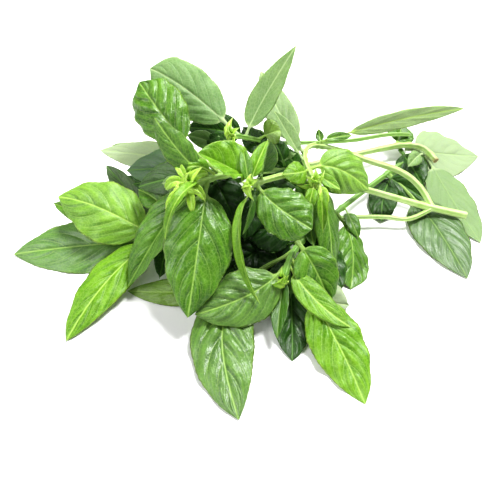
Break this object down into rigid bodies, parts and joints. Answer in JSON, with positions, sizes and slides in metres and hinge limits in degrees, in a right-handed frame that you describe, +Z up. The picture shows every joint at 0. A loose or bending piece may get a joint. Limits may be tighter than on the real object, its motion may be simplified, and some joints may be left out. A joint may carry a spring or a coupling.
{
  "type": "basil bunch",
  "caption": "Loose bunch of fresh basil lying on its side, leafy sprigs fanned out from bare cut stems; loose produce for a kitchen board or bowl.",
  "frame": {"origin": "on the table, under the middle of the bunch's bounding box", "axes": "+X towards the cut ends of the stems, +Y away from the front leaves, +Z up from the table"},
  "size_m": [0.287, 0.2134, 0.092],
  "materials": {
    "leaf_bright": "satin fresh leaf, yellow-green",
    "leaf_mid": "glossy quilted leaf, mid green",
    "leaf_dark": "glossy quilted leaf, deep green",
    "leaf_pale": "matte leaf, grey-green",
    "stem": "smooth juicy stem, pale green",
    "tuft": "satin young leaves, yellow-green"
  },
  "bodies": {
    "root": {"stem_front": "stem", "stem_arch": "stem", "stem_left": "stem", "stem_back": "stem", "stem_low": "stem", "stem_high": "stem", "tuft_centre": "tuft", "tuft_crown": "tuft", "tuft_back": "tuft", "tuft_right": "tuft", "tuft_low": "tuft", "leaf_centre_1": "leaf_bright", "leaf_centre_2": "leaf_mid", "leaf_centre_3": "leaf_mid", "leaf_centre_4": "leaf_bright", "leaf_centre_5": "leaf_mid", "leaf_crown_1": "leaf_mid", "leaf_crown_2": "leaf_mid", "leaf_crown_3": "leaf_mid", "leaf_crown_4": "leaf_bright", "leaf_crown_5": "leaf_dark", "leaf_crown_6": "leaf_dark", "leaf_back_1": "leaf_pale", "leaf_back_2": "leaf_pale", "leaf_back_3": "leaf_dark", "leaf_back_4": "leaf_mid", "leaf_back_5": "leaf_pale", "leaf_back_6": "leaf_mid", "leaf_bend_1": "leaf_pale", "leaf_bend_2": "leaf_pale", "leaf_bend_3": "leaf_bright", "leaf_bend_4": "leaf_mid", "leaf_bend_5": "leaf_mid", "leaf_right_1": "leaf_bright", "leaf_right_2": "leaf_bright", "leaf_right_4": "leaf_bright", "leaf_hang_1": "leaf_mid", "leaf_right_5": "leaf_mid", "leaf_hang_2": "leaf_dark", "leaf_hang_3": "leaf_mid", "leaf_hang_4": "leaf_mid", "leaf_low_1": "leaf_mid", "leaf_low_2": "leaf_mid", "leaf_low_3": "leaf_bright", "leaf_low_4": "leaf_bright", "leaf_low_5": "leaf_dark", "leaf_low_6": "leaf_mid", "leaf_low_7": "leaf_mid", "leaf_left_1": "leaf_bright", "leaf_left_2": "leaf_mid", "leaf_left_3": "leaf_bright", "leaf_left_4": "leaf_dark", "leaf_left_5": "leaf_dark", "leaf_cut_2": "leaf_pale", "leaf_cut_1": "leaf_pale", "leaf_cut_3": "leaf_mid", "leaf_cut_4": "leaf_mid", "leaf_cut_5": "leaf_dark", "leaf_inner_1": "leaf_dark", "leaf_inner_2": "leaf_dark"}
  },
  "joints": []
}
